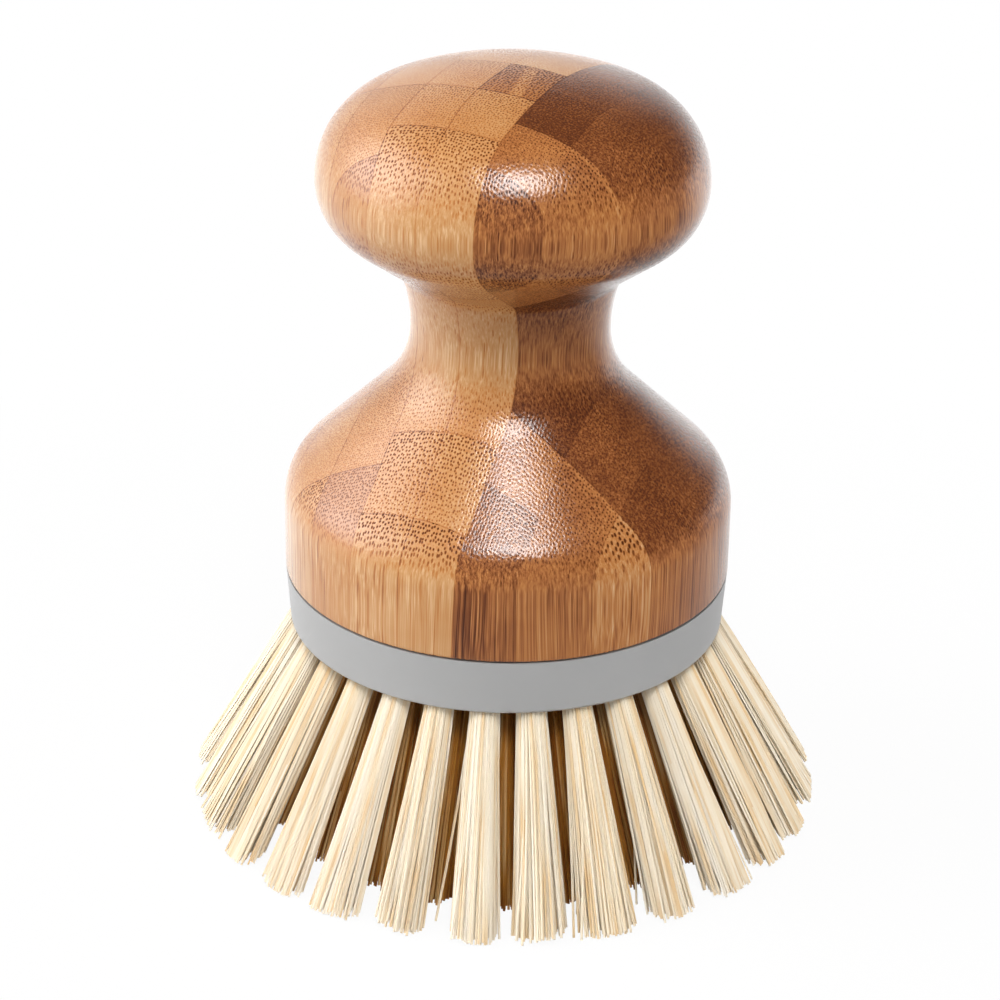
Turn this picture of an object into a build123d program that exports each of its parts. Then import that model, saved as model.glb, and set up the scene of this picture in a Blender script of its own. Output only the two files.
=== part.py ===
"""A palm brush for vegetables: a turned bamboo knob on a moulded head of flared bristle tufts.

Millimetres. +Z is up, and the origin is the centre of the circle where the bristle tips stand.
The head turns in a bayonet under the handle and is drawn locked.
"""

import math
import os

from build123d import *

# Levels, from the bristle tips up
bristle_length = 27.5
collar_height = 7.9
seam_gap = 0.2
handle_height = 71.6

# Handle outline, its heights counted from the handle's lower face
base_radius = 31.0
base_edge_round = 0.4
wall_height = 9.8
shoulder_share = 0.34
neck_sweep_share = 0.51
neck_radius = 13.6
neck_drop = 8.1
crease_radius = 15.1
crease_drop = 12.6
crease_round = 3.0
knob_radius = 26.3
knob_under_radius = 8.9
knob_edge_radius = 12.5
crown_height = 15.2

# Socket, set in the recess under the handle, with tracks for the head's lugs
socket_wall = 4.8
socket_web = 3.0
glue_gap = 0.05
hub_gap = 0.2
hub_end_gap = 0.8
lug_end_gap = 0.25
lug_seat_gap = 0.1
lug_head_gap = 0.3
stop_gap_angle = 1.5
twist_angle = 60.0

# Screws that hold the socket, countersunk in its web
screw_count = 3
screw_circle_radius = 9.5
screw_head_radius = 2.9
screw_shank_radius = 1.5
screw_length = 12.0
screw_tip_length = 3.0
screw_clearance = 0.05
screw_hole_spare = 0.5
cross_length = 3.2
cross_width = 0.7
cross_depth = 1.1

# Head: the collar that shows, the disc that holds the tufts and the hub that turns in the socket
collar_inset = 0.05
collar_draft = 0.55
collar_edge_round = 0.5
hub_radius = 15.0
hub_wall = 2.4
hub_height = 10.4
lug_count = 3
lug_reach = 1.75
lug_root = 0.5
lug_drop = 0.4
lug_height = 2.5
lug_width_angle = 24.0

# Tuft rows: rings of round holes whose axes fan out from one point above the head
row_names = ["outer", "second", "third", "fourth", "inner"]
outer_row_count = 28
row_count_step = 6
outer_row_margin = 2.6
first_tuft_angle = 7.5
fan_share = 1.58
hole_radius = 2.0
hole_depth = 5.6
plug_clearance = 0.03

# Slices of the head's underside, one ring for each row, let into a shallow bed
bed_rim = 0.8
bed_depth = 1.2
slice_gap = 0.1

# Strands: one in the middle of each tuft and a ring round it, cut flat where the brush stands
ring_strand_counts = [6, 5, 4, 3, 3]
strand_width = 0.85
strand_ring_radius = 1.3
strand_sink = 0.6
tuft_spread_share = 2.15
uneven_spread_share = 0.16
uneven_length = 1.7
stand_trim = 0.5
golden_share = 0.618034

# Flat wire staple across each hole, with the bristles folded over it
staple_length = 4.4
staple_height = 1.7
staple_thickness = 0.5
fold_height = 1.0
staple_clearance = 0.02

overrun = 1.0

# Levels and radii that follow from these
head_bottom = bristle_length
head_top = head_bottom + collar_height
handle_bottom = head_top + seam_gap
hub_top = head_top + hub_height
lug_level = hub_top - lug_drop - lug_height
ledge_level = lug_level - lug_seat_gap
track_height = lug_seat_gap + lug_height + lug_head_gap
screw_seat = hub_top + hub_end_gap
recess_top = screw_seat + socket_web
recess_depth = recess_top - handle_bottom
socket_bore_radius = hub_radius + hub_gap
track_radius = hub_radius + lug_reach + lug_end_gap
recess_radius = socket_bore_radius + socket_wall
collar_top_radius = base_radius - collar_inset
collar_bottom_radius = collar_top_radius - collar_draft
bed_radius = collar_bottom_radius - bed_rim
outer_row_radius = bed_radius - outer_row_margin
row_step = outer_row_radius * row_count_step / outer_row_count


def upright_plane(radius, level):
    """The plane through the axis, its origin at a radius and a level."""
    return Plane(origin=(radius, 0, level), x_dir=(1, 0, 0), z_dir=(0, -1, 0))


def line_lean(low_centre, low_radius, high_centre, high_radius):
    """Inward lean of a line from a convex arc up to a hollow one; a negative radius swaps the two."""
    across = high_centre[0] - low_centre[0]
    rise = high_centre[1] - low_centre[1]
    turn = math.asin((low_radius + high_radius) / math.hypot(across, rise))
    return math.degrees(turn - math.atan2(across, rise))


def ring_sector(inner, outer, middle_angle, width_angle):
    """Draw a sector of a ring in the open sketch."""
    first_angle = middle_angle - width_angle / 2
    with BuildLine() as sector:
        rim = CenterArc((0, 0), outer, first_angle, width_angle)
        root = CenterArc((0, 0), inner, first_angle, width_angle)
        Line(rim @ 0, root @ 0)
        Line(rim @ 1, root @ 1)
    make_face(sector.edges())


def even_angles(count):
    """Angles of as many copies round the axis."""
    return [360 * number / count for number in range(count)]


os.makedirs("parts", exist_ok=True)

# Handle: shoulder, waist and knob turned from one block
knob_height = handle_height - crown_height
crease = (crease_radius, knob_height - crease_drop)
neck_height = knob_height - crease_drop - neck_drop
shoulder_radius = (neck_height - wall_height) * shoulder_share
neck_sweep_radius = (neck_height - wall_height) * neck_sweep_share
shoulder_centre = (base_radius - shoulder_radius, wall_height)
neck_centre = (neck_radius + neck_sweep_radius, neck_height)
shoulder_lean = line_lean(shoulder_centre, shoulder_radius, neck_centre, neck_sweep_radius)
under_centre = (knob_radius - knob_under_radius, knob_height)
under_lean = line_lean(crease, 0, under_centre, -knob_under_radius)
crown_reach = knob_radius - knob_edge_radius
crown_spare = crown_height - knob_edge_radius
crown_radius = (crown_reach**2 + crown_height**2 - knob_edge_radius**2) / (2 * crown_spare)
edge_turn = 90 - math.degrees(math.atan2(crown_reach, crown_radius - crown_height))

with BuildPart() as bamboo_handle:
    with BuildSketch(upright_plane(0, handle_bottom)) as outline:
        with BuildLine():
            foot = Line((0, 0), (base_radius, 0))
            wall = Line(foot @ 1, (base_radius, wall_height))
            shoulder = JernArc(wall @ 1, (0, 1), shoulder_radius, shoulder_lean)
            waist = JernArc((neck_radius, neck_height), (0, -1), neck_sweep_radius, shoulder_lean)
            Line(shoulder @ 1, waist @ 1)
            TangentArc((neck_radius, neck_height), crease, tangent=(0, 1))
            under = JernArc((knob_radius, knob_height), (0, -1), knob_under_radius, under_lean)
            Line(crease, under @ 1)
            edge = JernArc((knob_radius, knob_height), (0, 1), knob_edge_radius, edge_turn)
            crown = RadiusArc(edge @ 1, (0, handle_height), -crown_radius)
            Line(crown @ 1, foot @ 0)
        make_face()
        fillet(outline.vertices().sort_by_distance(crease)[0], crease_round)
    revolve(axis=Axis.Z)
    fillet(bamboo_handle.edges().filter_by(GeomType.CIRCLE).sort_by(Axis.Z)[0], base_edge_round)
    with BuildSketch(Plane.XY.offset(handle_bottom)):
        Circle(recess_radius)
    extrude(amount=recess_depth, mode=Mode.SUBTRACT)
    with BuildSketch(Plane.XY.offset(recess_top)):
        with PolarLocations(screw_circle_radius, screw_count):
            Circle(screw_shank_radius + screw_clearance)
    extrude(amount=screw_length - socket_web + screw_hole_spare, mode=Mode.SUBTRACT)
bamboo_handle.part.label = "bamboo_handle"
export_step(bamboo_handle.part, "parts/bamboo_handle.step")

# Socket: a cup let into the handle, each track a slot up from the rim and a turn along the ledge
entry_width_angle = lug_width_angle + 2 * stop_gap_angle
track_angle = twist_angle + entry_width_angle

with BuildPart() as twist_socket:
    with BuildSketch(Plane.XY.offset(handle_bottom)):
        Circle(recess_radius - glue_gap)
    extrude(amount=recess_depth)
    with BuildSketch(Plane.XY.offset(handle_bottom)):
        Circle(socket_bore_radius)
        for lug_angle in even_angles(lug_count):
            ring_sector(
                socket_bore_radius - overrun, track_radius, lug_angle - twist_angle, entry_width_angle
            )
    extrude(amount=ledge_level + track_height - handle_bottom, mode=Mode.SUBTRACT)
    with BuildSketch(Plane.XY.offset(ledge_level)):
        for lug_angle in even_angles(lug_count):
            ring_sector(
                socket_bore_radius - overrun, track_radius, lug_angle - twist_angle / 2, track_angle
            )
    extrude(amount=track_height, mode=Mode.SUBTRACT)
    with BuildSketch(Plane.XY.offset(ledge_level)):
        Circle(socket_bore_radius)
    extrude(amount=screw_seat - ledge_level, mode=Mode.SUBTRACT)
    with Locations(Plane(origin=(0, 0, screw_seat), x_dir=(1, 0, 0), z_dir=(0, 0, -1))):
        with PolarLocations(screw_circle_radius, screw_count):
            CounterSinkHole(
                screw_shank_radius + screw_clearance, screw_head_radius + screw_clearance
            )
twist_socket.part.label = "twist_socket"
export_step(twist_socket.part, "parts/twist_socket.step")

# Socket screws, with a cross in each head
screw_cone = screw_head_radius - screw_shank_radius

with BuildPart() as screw:
    with BuildSketch(upright_plane(screw_circle_radius, screw_seat)):
        with BuildLine():
            Polyline(
                (0, 0),
                (screw_head_radius, 0),
                (screw_shank_radius, screw_cone),
                (screw_shank_radius, screw_length - screw_tip_length),
                (0, screw_length),
                close=True,
            )
        make_face()
    revolve(axis=Axis((screw_circle_radius, 0, screw_seat), (0, 0, 1)))
    with BuildSketch(Plane.XY.offset(screw_seat)):
        with Locations((screw_circle_radius, 0)):
            Rectangle(cross_length, cross_width)
            Rectangle(cross_width, cross_length)
    extrude(amount=cross_depth, mode=Mode.SUBTRACT)

with BuildPart() as socket_screws:
    with PolarLocations(0, screw_count):
        add(screw.part)
socket_screws.part.label = "socket_screws"
export_step(socket_screws.part, "parts/socket_screws.step")

# Brush head
with BuildPart() as brush_head:
    with BuildSketch(upright_plane(0, head_bottom)):
        with BuildLine():
            Polyline(
                (0, 0),
                (collar_bottom_radius, 0),
                (collar_top_radius, collar_height),
                (0, collar_height),
                close=True,
            )
        make_face()
    revolve(axis=Axis.Z)
    fillet(brush_head.edges().filter_by(GeomType.CIRCLE).sort_by(Axis.Z)[0], collar_edge_round)
    with BuildSketch(Plane.XY.offset(head_top)):
        Circle(hub_radius)
        Circle(hub_radius - hub_wall, mode=Mode.SUBTRACT)
    extrude(amount=hub_height)
    with BuildSketch(Plane.XY.offset(lug_level)):
        for lug_angle in even_angles(lug_count):
            ring_sector(hub_radius - lug_root, hub_radius + lug_reach, lug_angle, lug_width_angle)
    extrude(amount=lug_height)
    with BuildSketch(Plane.XY.offset(head_bottom)):
        Circle(bed_radius)
    extrude(amount=bed_depth, mode=Mode.SUBTRACT)


def hole_plane(row_radius):
    """The mouth of a row's first hole, its X axis along the row and its Z axis into the head."""
    into_head = (row_radius * (1 - fan_share), 0, bristle_length)
    return Plane(origin=(row_radius, 0, head_bottom), x_dir=(0, 1, 0), z_dir=into_head)


def staple_block(mouth, clearance):
    """The flat wire that lies across a hole, as one solid inside its pocket."""
    with BuildPart() as block:
        with BuildSketch(mouth.offset(hole_depth - fold_height - staple_height + clearance)):
            Rectangle(staple_length - 2 * clearance, staple_thickness - 2 * clearance)
        extrude(amount=staple_height - 2 * clearance)
    return block.part


def strand(root, foot, foot_level, angle):
    """One bristle: a slanted bar from its root to a level end, never under the standing plane."""
    drop = root.Z - foot_level
    run = (foot - root) * (drop / (root.Z - foot.Z))
    with BuildSketch(Plane(origin=root).rotated((0, 0, angle))) as section:
        Rectangle(strand_width, strand_width)
    return extrude(section.sketch, amount=run.length, dir=run.normalized(), mode=Mode.PRIVATE)


def tuft_strands(row_radius, tuft_angle, ring_count, serial):
    """The strands of one tuft, spread wider than the fan of the tufts."""
    uneven_spread = 2 * (serial * golden_share % 1) - 1
    spread_share = tuft_spread_share * (1 + uneven_spread_share * uneven_spread)
    places = [Vector(0, 0)]
    for ring_angle in even_angles(ring_count):
        places.append(Vector(strand_ring_radius, 0).rotate(Axis.Z, ring_angle))
    strands = []
    for number, place in enumerate(places):
        root = Vector(row_radius, 0, head_bottom + strand_sink) + place
        foot = Vector(row_radius * fan_share, 0, 0) + place * spread_share
        uneven_share = (serial * len(places) + number) * golden_share % 1
        foot_level = max(uneven_share * uneven_length - stand_trim, 0)
        root = root.rotate(Axis.Z, tuft_angle)
        foot = foot.rotate(Axis.Z, tuft_angle)
        strands.append(strand(root, foot, foot_level, tuft_angle))
    return strands


# Tuft rows: the hole, the staple and the plug of one tuft are turned into the whole row
for row, row_name in enumerate(row_names):
    tuft_count = outer_row_count - row * row_count_step
    row_radius = outer_row_radius * tuft_count / outer_row_count
    mouth = hole_plane(row_radius)
    pocket = staple_block(mouth, 0)
    staple = staple_block(mouth, staple_clearance)

    with BuildPart() as hole:
        with BuildSketch(mouth.offset(-overrun)):
            Circle(hole_radius)
        extrude(amount=overrun + hole_depth)
        add(pocket)

    with brush_head:
        with PolarLocations(0, tuft_count, first_tuft_angle):
            add(hole.part, mode=Mode.SUBTRACT)

    with BuildPart() as plug:
        with BuildSketch(mouth.offset(-overrun)):
            Circle(hole_radius - plug_clearance)
        extrude(amount=overrun + hole_depth - plug_clearance)
        split(bisect_by=Plane.XY.offset(head_bottom + bed_depth / 2), keep=Keep.TOP)
        add(pocket, mode=Mode.SUBTRACT)

    strands = []
    for tuft in range(tuft_count):
        tuft_angle = first_tuft_angle + 360 * tuft / tuft_count
        serial = tuft % (tuft_count // 2)
        strands += tuft_strands(row_radius, tuft_angle, ring_strand_counts[row], serial)

    with BuildPart() as tufts:
        with BuildSketch(Plane.XY.offset(head_bottom)):
            Circle(row_radius + row_step / 2 - slice_gap / 2 if row else bed_radius - slice_gap)
            if row_name != row_names[-1]:
                Circle(row_radius - row_step / 2 + slice_gap / 2, mode=Mode.SUBTRACT)
        extrude(amount=bed_depth)
        with PolarLocations(0, tuft_count, first_tuft_angle):
            add(plug.part)
        add(strands)
    tufts.part.label = f"{row_name}_tufts"
    export_step(tufts.part, f"parts/{row_name}_tufts.step")

    with BuildPart() as staples:
        with PolarLocations(0, tuft_count, first_tuft_angle):
            add(staple)
    staples.part.label = f"{row_name}_staples"
    export_step(staples.part, f"parts/{row_name}_staples.step")

brush_head.part.label = "brush_head"
export_step(brush_head.part, "parts/brush_head.step")
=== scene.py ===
"""Looks of the palm brush: a lacquered bamboo knob on a grey moulded head of flared bristle tufts."""

import functools
import math
import random

import bmesh
import bpy
from mathutils import Matrix, Vector


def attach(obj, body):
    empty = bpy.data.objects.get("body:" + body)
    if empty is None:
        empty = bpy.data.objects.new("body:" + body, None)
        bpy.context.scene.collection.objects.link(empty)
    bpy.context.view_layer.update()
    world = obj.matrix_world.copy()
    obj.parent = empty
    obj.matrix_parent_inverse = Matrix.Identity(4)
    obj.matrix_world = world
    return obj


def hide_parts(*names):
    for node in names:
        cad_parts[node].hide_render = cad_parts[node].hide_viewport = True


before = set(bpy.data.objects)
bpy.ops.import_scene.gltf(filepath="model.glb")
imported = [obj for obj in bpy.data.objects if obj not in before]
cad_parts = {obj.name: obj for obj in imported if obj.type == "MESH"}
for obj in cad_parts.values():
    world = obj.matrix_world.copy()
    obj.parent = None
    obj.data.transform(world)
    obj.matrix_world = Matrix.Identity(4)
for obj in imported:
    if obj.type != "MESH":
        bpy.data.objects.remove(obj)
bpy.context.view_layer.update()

MM = 0.001

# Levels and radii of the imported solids, in millimetres
HEAD_BOTTOM = 27.5
HEAD_TOP = 35.4
HANDLE_BOTTOM = 35.6
RECESS_RADIUS = 20.0
RECESS_TOP = 49.6

# Handle outline, its heights counted from the handle's lower face
BASE_RADIUS = 31.0
BASE_EDGE_ROUND = 0.4
WALL_HEIGHT = 9.8
SHOULDER_RADIUS = 8.81
NECK_RADIUS = 13.6
NECK_HEIGHT = 35.7
NECK_SWEEP_RADIUS = 13.21
CREASE_RADIUS = 15.1
CREASE_HEIGHT = 43.8
CREASE_ROUND = 0.9
KNOB_RADIUS = 26.3
KNOB_HEIGHT = 56.4
KNOB_UNDER_RADIUS = 8.9
KNOB_EDGE_RADIUS = 12.5
HANDLE_HEIGHT = 71.6

# Tuft rows
ROW_NAMES = ["outer", "second", "third", "fourth", "inner"]
OUTER_ROW_COUNT = 28
ROW_COUNT_STEP = 6
OUTER_ROW_RADIUS = 27.0
FIRST_TUFT_ANGLE = 7.5
FAN_SHARE = 1.58
HOLE_RADIUS = 2.0
BED_RADIUS = 29.5
BED_DEPTH = 1.2
DRILL_LENGTH = 10


# Shapes


def finished_mesh(name, mesh, body, smooth_angle=35):
    """Turn a bmesh into a named piece that rides on a body."""
    data = bpy.data.meshes.new(name)
    bmesh.ops.recalc_face_normals(mesh, faces=mesh.faces)
    mesh.to_mesh(data)
    mesh.free()
    data.shade_smooth()
    data.set_sharp_from_angle(angle=math.radians(smooth_angle))
    piece = bpy.data.objects.new(name, data)
    bpy.context.scene.collection.objects.link(piece)
    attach(piece, body)
    return piece


def run_to(mesh, end, reach, level):
    """Draw a straight run of a profile from its end vertex."""
    tip = bmesh.ops.extrude_vert_indiv(mesh, verts=[end])["verts"][0]
    tip.co = Vector((reach, 0, level)) * MM
    return tip


def arc_on(mesh, end, reach, level, degrees, edges):
    """Draw an arc of a profile from its end vertex about a centre, counterclockwise from +X to +Z."""
    arc = bmesh.ops.spin(
        mesh,
        geom=[end],
        cent=Vector((reach, 0, level)) * MM,
        axis=(0, -1, 0),
        angle=math.radians(degrees),
        steps=edges,
    )
    return next(part for part in arc["geom_last"] if isinstance(part, bmesh.types.BMVert))


def turn_profile(mesh, steps):
    """Turn the profile in a bmesh about the Z axis into a closed shape."""
    bmesh.ops.spin(
        mesh,
        geom=mesh.verts[:] + mesh.edges[:],
        cent=(0, 0, 0),
        axis=(0, 0, 1),
        angle=math.tau,
        steps=steps,
        use_merge=True,
    )
    bmesh.ops.remove_doubles(mesh, verts=mesh.verts, dist=0.002 * MM)


def line_lean(low_centre, low_radius, high_centre, high_radius):
    """Inward lean in degrees of a line from a convex arc up to a hollow one."""
    across = high_centre[0] - low_centre[0]
    rise = high_centre[1] - low_centre[1]
    turn = math.asin((low_radius + high_radius) / math.hypot(across, rise))
    return math.degrees(turn - math.atan2(across, rise))


def handle_mesh():
    """Turn the handle: recess, foot, wall, shoulder, waist and domed knob."""
    zero = HANDLE_BOTTOM
    shoulder = (BASE_RADIUS - SHOULDER_RADIUS, zero + WALL_HEIGHT)
    waist = (NECK_RADIUS + NECK_SWEEP_RADIUS, zero + NECK_HEIGHT)
    under = (KNOB_RADIUS - KNOB_UNDER_RADIUS, zero + KNOB_HEIGHT)
    crease = (CREASE_RADIUS, zero + CREASE_HEIGHT)
    shoulder_lean = line_lean(shoulder, SHOULDER_RADIUS, waist, NECK_SWEEP_RADIUS)
    under_lean = line_lean(crease, 0, under, -KNOB_UNDER_RADIUS)
    flare_out = CREASE_RADIUS - NECK_RADIUS
    flare_up = CREASE_HEIGHT - NECK_HEIGHT
    flare_radius = (flare_out**2 + flare_up**2) / (2 * flare_out)
    flare_turn = math.degrees(math.asin(flare_up / flare_radius))
    crown_height = HANDLE_HEIGHT - KNOB_HEIGHT
    crown_reach = KNOB_RADIUS - KNOB_EDGE_RADIUS
    crown_spare = crown_height - KNOB_EDGE_RADIUS
    crown_radius = (crown_reach**2 + crown_height**2 - KNOB_EDGE_RADIUS**2) / (2 * crown_spare)
    crown_turn = math.degrees(math.atan2(crown_reach, crown_radius - crown_height))

    mesh = bmesh.new()
    end = mesh.verts.new(Vector((0, 0, RECESS_TOP)) * MM)
    end = run_to(mesh, end, RECESS_RADIUS, RECESS_TOP)
    end = run_to(mesh, end, RECESS_RADIUS, zero)
    end = run_to(mesh, end, BASE_RADIUS - BASE_EDGE_ROUND, zero)
    end = arc_on(mesh, end, BASE_RADIUS - BASE_EDGE_ROUND, zero + BASE_EDGE_ROUND, 90, 4)
    end = run_to(mesh, end, BASE_RADIUS, zero + WALL_HEIGHT)
    end = arc_on(mesh, end, *shoulder, shoulder_lean, 16)
    lean = math.radians(shoulder_lean)
    end = run_to(
        mesh,
        end,
        waist[0] - NECK_SWEEP_RADIUS * math.cos(lean),
        waist[1] - NECK_SWEEP_RADIUS * math.sin(lean),
    )
    end = arc_on(mesh, end, *waist, -shoulder_lean, 16)
    crease_end = arc_on(mesh, end, NECK_RADIUS + flare_radius, waist[1], -flare_turn, 8)
    lean = math.radians(under_lean)
    end = run_to(
        mesh,
        crease_end,
        under[0] + KNOB_UNDER_RADIUS * math.cos(lean),
        under[1] + KNOB_UNDER_RADIUS * math.sin(lean),
    )
    end = arc_on(mesh, end, *under, -under_lean, 16)
    end = arc_on(mesh, end, crown_reach, under[1], 90 - crown_turn, 24)
    arc_on(mesh, end, 0, zero + HANDLE_HEIGHT - crown_radius, crown_turn, 14)
    bmesh.ops.bevel(
        mesh,
        geom=[crease_end],
        offset=CREASE_ROUND * MM,
        affect="VERTICES",
        segments=6,
        profile=0.5,
        material=-1,
    )
    turn_profile(mesh, 192)
    return mesh


def hole_direction(row_radius):
    """The way a row's bristles leave the head, out and down."""
    return Vector((row_radius * (FAN_SHARE - 1), 0, -HEAD_BOTTOM)).normalized()


def tuft_places():
    """Row name, row radius and angle in degrees of every tuft."""
    for row, name in enumerate(ROW_NAMES):
        count = OUTER_ROW_COUNT - row * ROW_COUNT_STEP
        for tuft in range(count):
            yield name, OUTER_ROW_RADIUS * count / OUTER_ROW_COUNT, FIRST_TUFT_ANGLE + 360 * tuft / count


def bed_mesh():
    """The head's underside, a disc with a round hole for every tuft."""
    disc = bmesh.new()
    rim = bmesh.ops.create_circle(disc, cap_ends=True, segments=128, radius=BED_RADIUS * MM)
    bmesh.ops.translate(disc, verts=rim["verts"], vec=(0, 0, HEAD_BOTTOM * MM))
    raised = bmesh.ops.extrude_face_region(disc, geom=disc.faces[:])["geom"]
    lifted = [part for part in raised if isinstance(part, bmesh.types.BMVert)]
    bmesh.ops.translate(disc, verts=lifted, vec=(0, 0, BED_DEPTH * MM))
    bmesh.ops.recalc_face_normals(disc, faces=disc.faces)

    drills = bmesh.new()
    for _, row_radius, angle in tuft_places():
        lean = hole_direction(row_radius).to_track_quat("Z", "Y").to_matrix().to_4x4()
        place = Matrix.Rotation(math.radians(angle), 4, "Z") @ Matrix.Translation(
            Vector((row_radius, 0, HEAD_BOTTOM)) * MM
        )
        bmesh.ops.create_cone(
            drills,
            cap_ends=True,
            segments=20,
            radius1=HOLE_RADIUS * MM,
            radius2=HOLE_RADIUS * MM,
            depth=DRILL_LENGTH * MM,
            matrix=place @ lean,
        )

    blanks = []
    for name, mesh in (("bed_blank", disc), ("bed_drills", drills)):
        data = bpy.data.meshes.new(name)
        mesh.to_mesh(data)
        mesh.free()
        blanks.append(bpy.data.objects.new(name, data))
        bpy.context.scene.collection.objects.link(blanks[-1])
    cut = blanks[0].modifiers.new("holes", "BOOLEAN")
    cut.operation = "DIFFERENCE"
    cut.solver = "EXACT"
    cut.object = blanks[1]
    drilled = bmesh.new()
    drilled.from_object(blanks[0], bpy.context.evaluated_depsgraph_get())
    for blank in blanks:
        bpy.data.meshes.remove(blank.data)
    return drilled


# Bristles, in millimetres; one in every STRAY_EVERY strays further
BRISTLES_PER_TUFT = 165
BRISTLE_RADIUS = 0.19
BRISTLE_POINTS = 5
GOLDEN_ANGLE = math.radians(137.508)
ROOT_SINK = 0.9
TIP_LIMIT = 44.6
LOWEST_TIP = 0.2
TIP_WANDER = 0.28
STRAY_WANDER = 1.5
STRAY_EVERY = 23
TIP_RISE = 0.35
LENGTH_WANDER = 0.2
BEND_WANDER = 0.12
BEND_SHARE = 0.55
TAPER_SHARE = 0.1

# Shades at the tips, the inner rows' darker as painted shade for the gaps between tufts; the share of them
# left at the roots, which paints shade under the head, and the power by which they grow outwards
OUTER_SHADE = 0.9
OUTER_ROOT_PAINTED_SHADE = (0.72, 0.5)
INNER_ROW_PAINTED_SHADE = 0.43
INNER_ROOT_PAINTED_SHADE = (0.1, 0.9)


def tuft_bristles(curve, shades, row_radius, angle, draw):
    """Add one tuft's bristles to a curve: packed in the hole, spread and uneven at the tips."""
    # Inner rows get a darker, amber tone: painted shade, since they are seen only in the shaded gaps between
    # outer tufts
    row_shade = OUTER_SHADE if row_radius == OUTER_ROW_RADIUS else INNER_ROW_PAINTED_SHADE
    turn = Matrix.Rotation(math.radians(angle), 3, "Z")
    leave = hole_direction(row_radius)
    tip_centre = Vector((row_radius * FAN_SHARE + draw.uniform(-0.5, 0.3), draw.uniform(-0.8, 0.8), 0))
    spread = Vector((draw.uniform(2.5, 3.1), draw.uniform(2.7, 3.9), 0))
    slant = Vector((draw.uniform(-0.5, 0.5), draw.uniform(-0.9, 0.9), 0))
    tuft_shade = draw.uniform(-0.05, 0.03)
    for number in range(BRISTLES_PER_TUFT):
        ring = math.sqrt((number + 0.5) / BRISTLES_PER_TUFT)
        around = number * GOLDEN_ANGLE
        place = Vector((ring * math.cos(around), ring * math.sin(around), 0))
        root = Vector((row_radius, 0, HEAD_BOTTOM + ROOT_SINK)) + place * (HOLE_RADIUS - BRISTLE_RADIUS)
        wander = TIP_WANDER if number % STRAY_EVERY else STRAY_WANDER
        tip = tip_centre + Vector(
            (
                place.x * spread.x + draw.gauss(0, wander),
                place.y * spread.y + draw.gauss(0, wander),
                LOWEST_TIP + max(0, TIP_RISE + slant.dot(place) + draw.gauss(0, LENGTH_WANDER)),
            )
        )
        reach = math.hypot(tip.x, tip.y)
        if reach > TIP_LIMIT:
            tip *= Vector((TIP_LIMIT / reach, TIP_LIMIT / reach, 1))
        length = (tip - root).length
        bend = root + (leave + place * 0.05) * length * 0.5
        middle = (root + tip) / 2
        wobble = Vector((draw.gauss(0, BEND_WANDER), draw.gauss(0, BEND_WANDER), 0))
        bend = middle.lerp(bend, BEND_SHARE) + wobble
        spline = curve.splines.new("POLY")
        spline.points.add(BRISTLE_POINTS - 1)
        for step, point in enumerate(spline.points):
            share = step / (BRISTLE_POINTS - 1)
            spot = root.lerp(bend, share).lerp(bend.lerp(tip, share), share)
            point.co = (*(turn @ spot * MM), 1)
            point.radius = 1 - TAPER_SHARE * share
        # Bristles near a tuft's centre are painted darker and amber, a painted shade for the cracks between
        # them; the random part is the bristles' own tone
        shades.append(row_shade + tuft_shade - 0.14 * (1 - ring) + draw.gauss(0, 0.035))


def bristle_row(name):
    """One row of tufts as a mesh of thin bristles, each with its own shade, darkened towards the root as
    painted shade.
    """
    draw = random.Random("bristles " + name)
    curve = bpy.data.curves.new(name, "CURVE")
    curve.dimensions = "3D"
    curve.bevel_depth = BRISTLE_RADIUS * MM
    curve.bevel_resolution = 0
    curve.use_fill_caps = True
    shades = []
    # Painted shade: bristles darken to amber towards the root under the head, where light comes only through
    # other filaments
    root_share, growth = OUTER_ROOT_PAINTED_SHADE if name == ROW_NAMES[0] else INNER_ROOT_PAINTED_SHADE
    for row_name, row_radius, angle in tuft_places():
        if row_name == name:
            tuft_bristles(curve, shades, row_radius, angle, draw)
    sketch = bpy.data.objects.new(name + "_lines", curve)
    bpy.context.scene.collection.objects.link(sketch)
    drawn = bpy.data.meshes.new_from_object(sketch.evaluated_get(bpy.context.evaluated_depsgraph_get()))
    mesh = bmesh.new()
    mesh.from_mesh(drawn)
    shade = mesh.verts.layers.float.new("shade")
    per_bristle = len(mesh.verts) // len(shades)
    for number, vertex in enumerate(mesh.verts):
        along = (number % per_bristle) // (per_bristle // BRISTLE_POINTS) / (BRISTLE_POINTS - 1)
        # Painted shade, strongest at the root and fading towards the tip
        lit = root_share + (1 - root_share) * along**growth
        vertex[shade] = shades[number // per_bristle] * lit
    bpy.data.curves.remove(curve)
    return mesh


# Finishes


def linear(hex_colour, alpha=1.0):
    """An sRGB hex colour as linear values."""
    parts = [int(hex_colour[start : start + 2], 16) / 255 for start in (1, 3, 5)]
    return (*[part / 12.92 if part <= 0.04045 else ((part + 0.055) / 1.055) ** 2.4 for part in parts], alpha)


def add(tree, kind, sockets=None, stops=None, **settings):
    """Add a shader node with its settings, its ramp's stops and its sockets' values or links."""
    made = tree.nodes.new("ShaderNode" + kind)
    for setting, value in settings.items():
        setattr(made, setting, value)
    if stops:
        while len(made.color_ramp.elements) < len(stops):
            made.color_ramp.elements.new(1)
        for element, (position, colour) in zip(made.color_ramp.elements, stops):
            element.position = position
            element.color = linear(colour)
    for socket, value in (sockets or {}).items():
        if isinstance(value, bpy.types.Node):
            value = value.outputs[0]
        if isinstance(value, bpy.types.NodeSocket):
            tree.links.new(value, made.inputs[socket])
        else:
            made.inputs[socket].default_value = value
    return made


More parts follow.
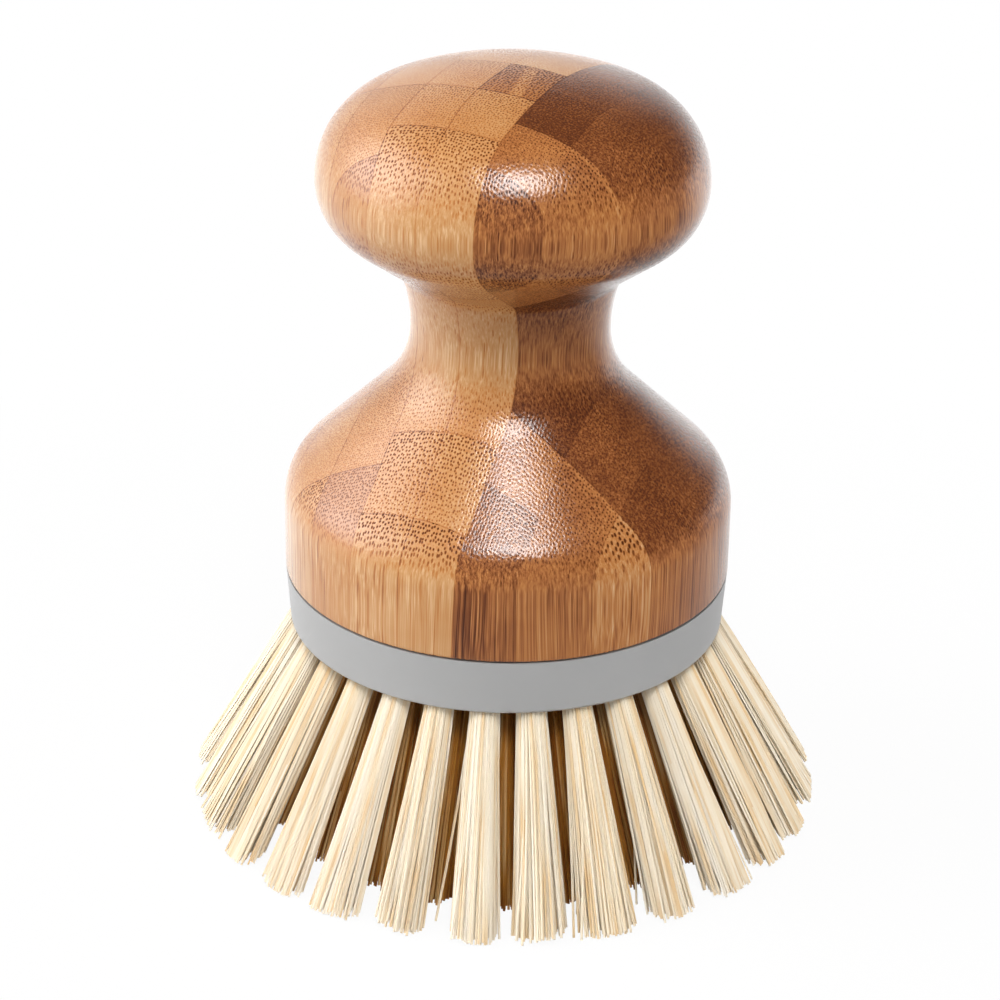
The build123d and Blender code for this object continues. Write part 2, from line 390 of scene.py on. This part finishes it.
def new_finish(name):
    """An empty node material with its tree."""
    finish = bpy.data.materials.new(name)
    finish.use_nodes = True
    finish.node_tree.nodes.clear()
    return finish, finish.node_tree


# Bamboo boards, in millimetres and degrees, seen from above
BOARD_TURN = 26
BOARD_WIDTH = 7.85
BOARD_SHIFT = 0.8
STRIP_DEPTH = 9.35
FAR_STRIP_DEPTH = 13.0
GOLDEN_STRIP_DEPTH = 15.35
FIRST_GOLDEN_DEPTH = 8.5
NATURAL_START = 8.2
STEAMED_START = 13.6
FIRST_GOLDEN_SHIFT = -1.2
SWAY = 1.6


def lacquered_bamboo():
    """Moso bamboo strips, part natural and part steamed to caramel, glued upright and lacquered.

    End grain shows as dark dots of fibre bundles, which run out into thin streaks where the surface
    is upright. End grain drinks more lacquer, so it is darker too.
    """
    finish, tree = new_finish("lacquered_bamboo")
    put = functools.partial(add, tree)
    coordinates = put("TexCoord").outputs
    # Turned so that X runs across the boards and Y through their strips, in millimetres
    strips = put(
        "Mapping",
        {
            "Vector": coordinates["Object"],
            "Rotation": (0, 0, math.radians(BOARD_TURN)),
            "Scale": (1 / MM, 1 / MM, 1 / MM),
        },
    )
    sway = put("TexNoise", {"Vector": strips, "Scale": 0.05, "Detail": 1.0}).outputs["Color"]
    swayed = put("VectorMath", {0: sway, 1: (SWAY, SWAY, 0.0), 2: strips}, operation="MULTIPLY_ADD")
    grain = put("VectorMath", {0: swayed, 1: (SWAY / 2, SWAY / 2, 0.0)}, operation="SUBTRACT")
    across = put("SeparateXYZ", {0: grain}).outputs

    # Boards side by side, numbered from the left; those from 1 on are steamed
    board = put(
        "Math",
        {0: across["X"], 1: 1 / BOARD_WIDTH, 2: BOARD_SHIFT / BOARD_WIDTH},
        operation="MULTIPLY_ADD",
    )
    board_number = put("Math", {0: board}, operation="FLOOR")
    board_share = put("Math", {0: board}, operation="FRACT")
    steamed = put("Math", {0: board_number, 1: 0.5}, operation="GREATER_THAN")
    natural = put("Math", {0: 1.0, 1: steamed}, operation="SUBTRACT")
    first_steamed = put("Math", {0: board_number, 1: 1.0, 2: 0.1}, operation="COMPARE")
    far = put("Math", {0: board_number, 1: -1.5}, operation="LESS_THAN")

    # Each board is glued up of strips one behind the other, steamed boards with golden ones in front
    depth = put(
        "Math", {0: steamed, 1: STEAMED_START - NATURAL_START, 2: NATURAL_START}, operation="MULTIPLY_ADD"
    )
    depth = put("Math", {0: across["Y"], 1: depth}, operation="ADD")
    golden = put("Math", {0: depth, 1: 0.0}, operation="LESS_THAN")
    golden = put("Math", {0: golden, 1: steamed}, operation="MULTIPLY")
    golden_first = put("Math", {0: golden, 1: first_steamed}, operation="MULTIPLY")
    caramel = put("Math", {0: steamed, 1: golden}, operation="SUBTRACT")
    depth = put("Math", {0: golden_first, 1: FIRST_GOLDEN_SHIFT, 2: depth}, operation="MULTIPLY_ADD")
    pitch = put("Math", {0: far, 1: FAR_STRIP_DEPTH - STRIP_DEPTH, 2: STRIP_DEPTH}, operation="MULTIPLY_ADD")
    for which, deeper in (
        (golden, GOLDEN_STRIP_DEPTH - STRIP_DEPTH),
        (golden_first, FIRST_GOLDEN_DEPTH - GOLDEN_STRIP_DEPTH),
    ):
        pitch = put("Math", {0: which, 1: deeper, 2: pitch}, operation="MULTIPLY_ADD")
    strip = put("Math", {0: depth, 1: pitch}, operation="DIVIDE")
    strip_number = put("Math", {0: strip}, operation="FLOOR")
    strip_share = put("Math", {0: strip}, operation="FRACT")
    cell = put("CombineXYZ", {"X": board_number, "Y": strip_number})
    chance = put("TexWhiteNoise", {"Vector": cell}, noise_dimensions="2D").outputs["Value"]

    # Where the surface cuts across the fibres, and where it runs along them
    upward = put("SeparateXYZ", {0: coordinates["Normal"]}).outputs["Z"]
    upward = put("Math", {0: upward}, operation="ABSOLUTE")
    end_grain = put(
        "MapRange", {"Value": upward, "From Min": 0.1, "From Max": 0.6}, interpolation_type="SMOOTHSTEP"
    )
    upright = put(
        "MapRange", {"Value": upward, "From Min": 0.15, "From Max": 0.02}, interpolation_type="SMOOTHSTEP"
    )
    caramel_end = put("Math", {0: caramel, 1: end_grain}, operation="MULTIPLY")
    golden_end = put("Math", {0: golden, 1: end_grain}, operation="MULTIPLY")
    golden_upright = put("Math", {0: golden, 1: upright}, operation="MULTIPLY")

    # Three single strips stand out: one dark in front, one spotted on top, one rosy at the left
    dark_front = put("Math", {0: strip_number, 1: -1.5}, operation="LESS_THAN")
    dark_front = put("Math", {0: dark_front, 1: first_steamed}, operation="MULTIPLY")
    first_natural = put("Math", {0: board_number, 1: 0.0, 2: 0.1}, operation="COMPARE")
    spotted_top = put("Math", {0: strip_number, 1: 0.0, 2: 0.1}, operation="COMPARE")
    spotted_top = put("Math", {0: spotted_top, 1: first_natural}, operation="MULTIPLY")
    second_far = put("Math", {0: board_number, 1: -2.0, 2: 0.1}, operation="COMPARE")
    rosy_left = put("Math", {0: strip_number, 1: -2.0, 2: 0.1}, operation="COMPARE")
    rosy_left = put("Math", {0: rosy_left, 1: second_far}, operation="MULTIPLY")

    # The last golden strip is coarse and paler, and golden strips have a pale rim by the caramel
    coarse = put("Math", {0: board_number, 1: 2.5}, operation="GREATER_THAN")
    coarse = put("Math", {0: coarse, 1: golden}, operation="MULTIPLY")
    rim = put("MapRange", {"Value": depth, "From Min": -0.7, "From Max": -0.3})
    rim = put("Math", {0: rim, 1: golden}, operation="MULTIPLY")
    # A pale band runs aslant through the spotted strip
    slant = put("Math", {0: across["Y"], 1: 0.22, 2: across["X"]}, operation="MULTIPLY_ADD")
    slant = put("Math", {0: slant, 1: 2.5}, operation="SUBTRACT")
    slant = put("Math", {0: slant}, operation="ABSOLUTE")
    band = put("MapRange", {"Value": slant, "From Min": 1.0, "From Max": 0.6})
    band = put("Math", {0: band, 1: spotted_top}, operation="MULTIPLY")
    # Strips from the inside of the culm, with larger bundles
    inmost = put("Math", {0: strip_number, 1: -1.5}, operation="LESS_THAN")
    inmost = put("Math", {0: inmost, 1: natural}, operation="MULTIPLY")

    # How dark the wood is, from 0 for pale bamboo to 1 for nearly black
    tone = put("Math", {0: chance, 1: 0.1, 2: 0.12}, operation="MULTIPLY_ADD")
    for which, darker in (
        (end_grain, 0.1),
        (golden, 0.22),
        (golden_end, -0.03),
        (golden_upright, 0.04),
        (caramel, 0.3),
        (caramel_end, 0.12),
        (dark_front, 0.16),
        (spotted_top, 0.16),
        (rosy_left, 0.1),
        (coarse, -0.06),
        (rim, -0.1),
        (band, -0.17),
    ):
        tone = put("Math", {0: which, 1: darker, 2: tone}, operation="MULTIPLY_ADD")

    # Fibre bundles: their spacing in millimetres, 0.3 to 0.65
    spacing = put("Math", {0: chance, 1: 0.06, 2: 0.38}, operation="MULTIPLY_ADD")
    for which, wider in ((inmost, 0.06), (far, -0.08), (coarse, 0.2)):
        spacing = put("Math", {0: which, 1: wider, 2: spacing}, operation="MULTIPLY_ADD")
    spacing = put("Math", {0: 1.0, 1: spacing}, operation="DIVIDE")
    packed = put("VectorMath", {0: grain, "Scale": spacing}, operation="SCALE")
    bundles = put(
        "TexVoronoi", {"Vector": packed, "Scale": 1.0, "Randomness": 0.62}, voronoi_dimensions="2D"
    ).outputs
    bundle_chance = put("SeparateXYZ", {0: bundles["Color"]}).outputs["X"]

    # The radius of a bundle's dot, as a share of the spacing, larger towards one face of the strip
    radius = put("Math", {0: strip_share, 1: 1.5}, operation="POWER")
    radius = put("Math", {0: radius, 1: 0.08, 2: 0.15}, operation="MULTIPLY_ADD")
    for which, larger in (
        (steamed, -0.03),
        (spotted_top, 0.08),
        (inmost, 0.04),
        (coarse, 0.06),
        (bundle_chance, 0.06),
    ):
        radius = put("Math", {0: which, 1: larger, 2: radius}, operation="MULTIPLY_ADD")
    dot_edge = put("Math", {0: radius, 1: 0.12}, operation="ADD")
    dot_core = put("Math", {0: radius, 1: 0.1}, operation="SUBTRACT")
    dot = put(
        "MapRange",
        {"Value": bundles["Distance"], "From Min": dot_edge, "From Max": dot_core},
        interpolation_type="SMOOTHSTEP",
    )
    dot_depth = put("Math", {0: strip_share, 1: 0.2, 2: 0.22}, operation="MULTIPLY_ADD")
    for which, deeper in ((natural, 0.12), (coarse, 0.12)):
        dot_depth = put("Math", {0: which, 1: deeper, 2: dot_depth}, operation="MULTIPLY_ADD")
    # Seen from the side most bundles are as pale as the wood round them, and a few stay dark
    side_fade = put("Math", {0: bundle_chance, 1: 3.0}, operation="POWER")
    side_fade = put("Math", {0: side_fade, 1: 0.6, 2: 0.1}, operation="MULTIPLY_ADD")
    side_fade = put("Math", {0: side_fade, 1: end_grain}, operation="MAXIMUM")
    dot_depth = put("Math", {0: dot_depth, 1: side_fade}, operation="MULTIPLY")

    # Fibres along the culm, 0.1 to 0.45 mm wide and centimetres long, fine speckle on end grain
    along = put("Mapping", {"Vector": grain, "Scale": (1.0, 1.0, 0.008)})
    fibre = put("TexNoise", {"Vector": along, "Scale": 3.4, "Detail": 2.0, "Roughness": 0.85})
    fibre = put("Math", {0: fibre, 1: 0.5}, operation="SUBTRACT")
    fibre_depth = put("Math", {0: upright, 1: 0.35, 2: 0.55}, operation="MULTIPLY_ADD")
    for which, deeper in ((steamed, 0.3), (dark_front, 0.35), (caramel_end, 0.2)):
        fibre_depth = put("Math", {0: which, 1: deeper, 2: fibre_depth}, operation="MULTIPLY_ADD")
    clouds = put("TexNoise", {"Vector": grain, "Scale": 0.15, "Detail": 2.0})
    clouds = put("Math", {0: clouds, 1: 0.5}, operation="SUBTRACT")

    # Glue lines, a thin brown seam 0.2 mm wide, stronger along some strips, faint in steamed boards
    board_edge = put("Math", {0: board_share, 1: 0.5}, operation="PINGPONG")
    board_edge = put("Math", {0: board_edge, 1: BOARD_WIDTH}, operation="MULTIPLY")
    strip_edge = put("Math", {0: strip_share, 1: 0.5}, operation="PINGPONG")
    strip_edge = put("Math", {0: strip_edge, 1: pitch}, operation="MULTIPLY")
    nearest = put("Math", {0: board_edge, 1: strip_edge}, operation="MINIMUM")
    glue = put(
        "MapRange", {"Value": nearest, "From Min": 0.16, "From Max": 0.05}, interpolation_type="SMOOTHSTEP"
    )
    glue_depth = put("Math", {0: chance, 1: 0.2, 2: 0.08}, operation="MULTIPLY_ADD")
    faint = put("Math", {0: steamed, 1: -0.75, 2: 1.0}, operation="MULTIPLY_ADD")
    glue_depth = put("Math", {0: glue_depth, 1: faint}, operation="MULTIPLY")

    for pattern, darker in ((dot, dot_depth), (fibre, fibre_depth), (clouds, 0.22), (glue, glue_depth)):
        tone = put("Math", {0: pattern, 1: darker, 2: tone}, operation="MULTIPLY_ADD")
    colour = put(
        "ValToRGB",
        {0: tone},
        stops=[
            (0.0, "#d8b187"),
            (0.18, "#c08f5c"),
            (0.36, "#b4763f"),
            (0.52, "#995d30"),
            (0.66, "#7a4420"),
            (0.82, "#592c11"),
            (1.0, "#401e0a"),
        ],
    )
    rosy_share = put("Math", {0: rosy_left, 1: end_grain}, operation="MULTIPLY")
    rosy_share = put("Math", {0: rosy_share, 1: 0.35}, operation="MULTIPLY")
    colour = put("Mix", {0: rosy_share, 6: colour, 7: linear("#a9785f")}, data_type="RGBA").outputs[2]

    # Orange peel of the lacquer, 0.4 mm, over wood whose bundles are sunk
    peel = put("TexNoise", {"Vector": strips, "Scale": 2.4, "Detail": 2.0})
    pit = put("Math", {0: dot, 1: end_grain}, operation="MULTIPLY")
    height = put("Math", {0: pit, 1: -0.7, 2: peel}, operation="MULTIPLY_ADD")
    height = put("Math", {0: fibre, 1: 0.6, 2: height}, operation="MULTIPLY_ADD")
    bump = put("Bump", {"Strength": 0.5, "Distance": 0.06 * MM, "Height": height})
    # The lacquer rises between the bundles, which gives it a leathery relief
    level = put("Math", {0: bundles["Distance"], 1: end_grain}, operation="MULTIPLY")
    level = put("Math", {0: level, 1: 1.2, 2: peel}, operation="MULTIPLY_ADD")
    level = put("Math", {0: fibre, 1: 0.6, 2: level}, operation="MULTIPLY_ADD")
    lacquer = put("Bump", {"Strength": 0.5, "Distance": 0.052 * MM, "Height": level})
    # Over each bundle it is sunk and mirrors little
    covered = put("Math", {0: pit, 1: -0.85, 2: 1.0}, operation="MULTIPLY_ADD")
    shader = put(
        "BsdfPrincipled",
        {
            "Base Color": colour,
            "Normal": bump,
            "Coat Normal": lacquer,
            "Roughness": 0.5,
            "IOR": 1.45,
            "Specular IOR Level": 0.1,
            "Coat Weight": covered,
            "Coat Roughness": 0.16,
            "Coat IOR": 1.6,
        },
    )
    put("OutputMaterial", {"Surface": shader})
    return finish


def moulded_plastic(name, hex_colour, roughness):
    """Injection moulded polypropylene from a fine spark-eroded mould, satin, with a faint mottle."""
    finish, tree = new_finish(name)
    place = add(tree, "TexCoord").outputs["Object"]
    # The mould's real texture, about 0.05 mm, is drawn at 0.3 mm to show
    grain = add(tree, "TexNoise", {"Vector": place, "Scale": 1 / (0.3 * MM), "Detail": 2.0})
    mottle = add(tree, "TexNoise", {"Vector": place, "Scale": 1 / (12 * MM), "Detail": 2.0})
    bump = add(tree, "Bump", {"Strength": 0.15, "Distance": 0.01 * MM, "Height": grain})
    dark, light = ([part * share for part in linear(hex_colour)[:3]] + [1] for share in (0.96, 1.04))
    colour = add(tree, "Mix", {0: mottle, 6: dark, 7: light}, data_type="RGBA").outputs[2]
    rough = add(tree, "MapRange", {"Value": mottle, "To Min": roughness - 0.05, "To Max": roughness + 0.05})
    sockets = {"Base Color": colour, "Roughness": rough, "Normal": bump, "IOR": 1.49}
    add(tree, "OutputMaterial", {"Surface": add(tree, "BsdfPrincipled", sockets)})
    return finish


def plated_steel(name, hex_colour, roughness, stretch):
    """Steel, zinc plated or bare, drawn or turned, which leaves fine lines 0.25 mm apart."""
    finish, tree = new_finish(name)
    place = add(tree, "TexCoord").outputs["Object"]
    lines = add(tree, "Mapping", {"Vector": place, "Scale": stretch})
    drawn = add(tree, "TexNoise", {"Vector": lines, "Scale": 4 / MM, "Detail": 2.0})
    rough = add(tree, "MapRange", {"Value": drawn, "To Min": roughness - 0.08, "To Max": roughness + 0.08})
    bump = add(tree, "Bump", {"Strength": 0.2, "Distance": 0.01 * MM, "Height": drawn})
    sockets = {"Base Color": linear(hex_colour), "Metallic": 1.0, "Roughness": rough, "Normal": bump}
    add(tree, "OutputMaterial", {"Surface": add(tree, "BsdfPrincipled", sockets)})
    return finish


def cream_bristle():
    """Extruded nylon filament, cream, each a little different, with a soft sheen along its length."""
    finish, tree = new_finish("cream_nylon_filament")
    shade = add(tree, "Attribute", attribute_name="shade").outputs["Fac"]
    place = add(tree, "TexCoord").outputs["Object"]
    # Faint clouds of colour about 3 mm long
    speckle = add(tree, "TexNoise", {"Vector": place, "Scale": 0.35 / MM, "Detail": 2.0})
    speckle = add(tree, "Math", {0: speckle, 1: 0.5}, operation="SUBTRACT")
    tone = add(tree, "Math", {0: speckle, 1: 0.06, 2: shade}, operation="MULTIPLY_ADD")
    # The ramp's amber low end shows the painted shade of roots, inner rows and tuft centres; its cream top
    # is the nylon's own colour
    colour = add(
        tree,
        "ValToRGB",
        {0: tone},
        stops=[(0.0, "#774010"), (0.25, "#b0762f"), (0.5, "#dbb781"), (0.75, "#e6d8bf"), (1.0, "#f0e8da")],
    )
    sockets = {"Base Color": colour, "Roughness": 0.45, "IOR": 1.53, "Specular IOR Level": 0.3}
    add(tree, "OutputMaterial", {"Surface": add(tree, "BsdfPrincipled", sockets)})
    return finish


# Pieces

bamboo = lacquered_bamboo()
grey = moulded_plastic("grey_moulded_polypropylene", "#a2a2a2", 0.36)
socket_grey = moulded_plastic("plain_moulded_socket", "#8f8f8d", 0.5)
screw_zinc = plated_steel("zinc_plated_steel", "#c4c6cb", 0.32, (1, 1, 0.2))
wire = plated_steel("drawn_staple_wire", "#cbc6b6", 0.3, (0.2, 1, 1))
cream = cream_bristle()

handle = finished_mesh("turned_handle", handle_mesh(), "handle")
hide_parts("bamboo_handle")
handle.data.materials.append(bamboo)

bed = finished_mesh("tuft_bed", bed_mesh(), "head")
bed.data.materials.append(grey)

for row_name in ROW_NAMES:
    row_piece = finished_mesh(row_name + "_bristles", bristle_row(row_name), "head", 60)
    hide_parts(row_name + "_tufts")
    row_piece.data.materials.append(cream)

node_finishes = {"brush_head": grey, "twist_socket": socket_grey, "socket_screws": screw_zinc}
node_finishes.update({row_name + "_staples": wire for row_name in ROW_NAMES})
for node_name, node_finish in node_finishes.items():
    for material_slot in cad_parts[node_name].material_slots:
        material_slot.material = node_finish

# Stage, its lengths in metres and its angles in degrees

FLOOR_REACH = 4.0
SHADOW_REACH = 0.07
WHITE_REACH = 0.16
SHADOW_SHARE = 0.93
LAMP_TARGET = Vector((0, 0, 0.06))
NEAR_LAMP = 0.7
FAR_LAMP = 1.3
CAMERA_PLACE = (0, -0.3915, 0.2342)
CAMERA_PITCH = 26.89
CAMERA_ROLL = 0.9


def studio_world():
    """White all round for the camera.

    Low down the lacquer mirrors white from behind and from the left, less in front, and hardly
    anything from above.
    """
    world = bpy.data.worlds.new("studio")
    world.use_nodes = True
    tree = world.node_tree
    tree.nodes.clear()
    ray = add(tree, "LightPath").outputs
    way = add(tree, "SeparateXYZ", {0: add(tree, "TexCoord").outputs["Generated"]}).outputs
    lift = add(tree, "Math", {0: way["X"], 1: 0.6, 2: way["Z"]}, operation="MULTIPLY_ADD")
    side = add(tree, "Math", {0: way["X"], 1: -0.5, 2: way["Y"]}, operation="MULTIPLY_ADD")
    low = add(
        tree, "MapRange", {"Value": side, "From Min": -0.6, "From Max": 0.8, "To Min": 0.15, "To Max": 1.0}
    )
    mirror = add(
        tree, "MapRange", {"Value": lift, "From Min": 0.35, "From Max": 0.65, "To Min": low, "To Max": 0.05}
    )
    light = add(tree, "Mix", {0: ray["Is Glossy Ray"], 2: 0.27, 3: mirror})
    seen = add(tree, "Math", {0: ray["Is Camera Ray"], 1: ray["Is Transmission Ray"]}, operation="MAXIMUM")
    strength = add(tree, "Math", {0: seen, 1: light}, operation="MAXIMUM")
    sky = add(tree, "Background", {"Color": (1, 1, 1, 1), "Strength": strength})
    add(tree, "OutputWorld", {"Surface": sky})
    return world


def white_sweep():
    """Floor finish: white, matt enough round the brush to take its shadow, plain white further out.

    The lacquer mirrors it bright behind and at the left, and dim in front, as it does the world.
    """
    finish, tree = new_finish("white_sweep")
    place = add(tree, "TexCoord").outputs["Object"]
    ray = add(tree, "LightPath").outputs
    seen = add(tree, "Math", {0: ray["Is Camera Ray"], 1: ray["Is Transmission Ray"]}, operation="MAXIMUM")
    seen = add(tree, "Math", {0: seen, 1: ray["Is Glossy Ray"]}, operation="MAXIMUM")
    matt = add(tree, "BsdfDiffuse", {"Color": linear("#e4e4e4")})
    spot = add(tree, "SeparateXYZ", {0: place}).outputs
    side = add(tree, "Math", {0: spot["X"], 1: -0.5, 2: spot["Y"]}, operation="MULTIPLY_ADD")
    mirror = add(
        tree, "MapRange", {"Value": side, "From Min": -0.08, "From Max": 0.12, "To Min": 0.15, "To Max": 1.4}
    )
    strength = add(tree, "Mix", {0: ray["Is Glossy Ray"], 2: 1.0, 3: mirror})
    white = add(tree, "Emission", {"Color": (1, 1, 1, 1), "Strength": strength})
    away = add(tree, "VectorMath", {0: place}, operation="LENGTH").outputs["Value"]
    fade = add(
        tree,
        "MapRange",
        {
            "Value": away,
            "From Min": SHADOW_REACH,
            "From Max": WHITE_REACH,
            "To Min": SHADOW_SHARE,
            "To Max": 1.0,
        },
    )
    share = add(tree, "Math", {0: seen, 1: fade}, operation="MULTIPLY")
    add(tree, "OutputMaterial", {"Surface": add(tree, "MixShader", {0: share, 1: matt, 2: white})})
    return finish


def softbox(name, azimuth, elevation, distance, width, height, watts, spread=180, mirrored=True):
    """A rectangular area lamp that looks at the brush; azimuth runs from +X towards +Y.

    A narrow spread in degrees makes it fade towards its edges. One that isn't mirrored lights the
    brush but shows in no reflection.
    """
    lamp = bpy.data.lights.new(name, "AREA")
    lamp.shape = "RECTANGLE"
    lamp.size = width
    lamp.size_y = height
    lamp.energy = watts
    lamp.spread = math.radians(spread)
    holder = bpy.data.objects.new(name, lamp)
    turned, raised = math.radians(azimuth), math.radians(elevation)
    outwards = math.cos(raised)
    way = Vector((math.cos(turned) * outwards, math.sin(turned) * outwards, math.sin(raised)))
    holder.location = LAMP_TARGET + way * distance
    holder.rotation_euler = (-way).to_track_quat("-Z", "Y").to_euler()
    holder.visible_camera = False
    holder.visible_glossy = mirrored
    bpy.context.scene.collection.objects.link(holder)


scene = bpy.context.scene
scene.view_settings.view_transform = "Standard"
scene.world = studio_world()

floor_mesh = bmesh.new()
bmesh.ops.create_grid(floor_mesh, x_segments=8, y_segments=8, size=FLOOR_REACH)
floor_data = bpy.data.meshes.new("floor")
floor_mesh.to_mesh(floor_data)
floor_mesh.free()
floor_data.materials.append(white_sweep())
floor = bpy.data.objects.new("floor", floor_data)
scene.collection.objects.link(floor)

softbox("front_softbox", -86, 57, NEAR_LAMP, width=0.34, height=0.34, watts=0.38, spread=46)
softbox("front_fill", -86, 40, NEAR_LAMP, width=0.3, height=0.36, watts=0.4, mirrored=False)
softbox("left_window", 178, 26, FAR_LAMP, width=1.9, height=1.3, watts=5.9, spread=75)
softbox("left_fill", 180, 13, FAR_LAMP, width=1.1, height=1.0, watts=3.0, mirrored=False)
softbox("right_fill", 10, 6, FAR_LAMP, width=0.8, height=0.5, watts=5.9, mirrored=False)

# The camera as solved from the photograph
camera_data = bpy.data.cameras.new("camera")
camera_data.lens = 112.4
camera_data.sensor_width = 36
camera_data.shift_x = -0.0069
camera_data.shift_y = 0.0563
camera_data.clip_start = 0.01
camera = bpy.data.objects.new("camera", camera_data)
camera.location = CAMERA_PLACE
camera.rotation_euler = (
    Matrix.Rotation(math.radians(90 - CAMERA_PITCH), 3, "X")
    @ Matrix.Rotation(math.radians(CAMERA_ROLL), 3, "Z")
).to_euler()
scene.collection.objects.link(camera)
scene.camera = camera
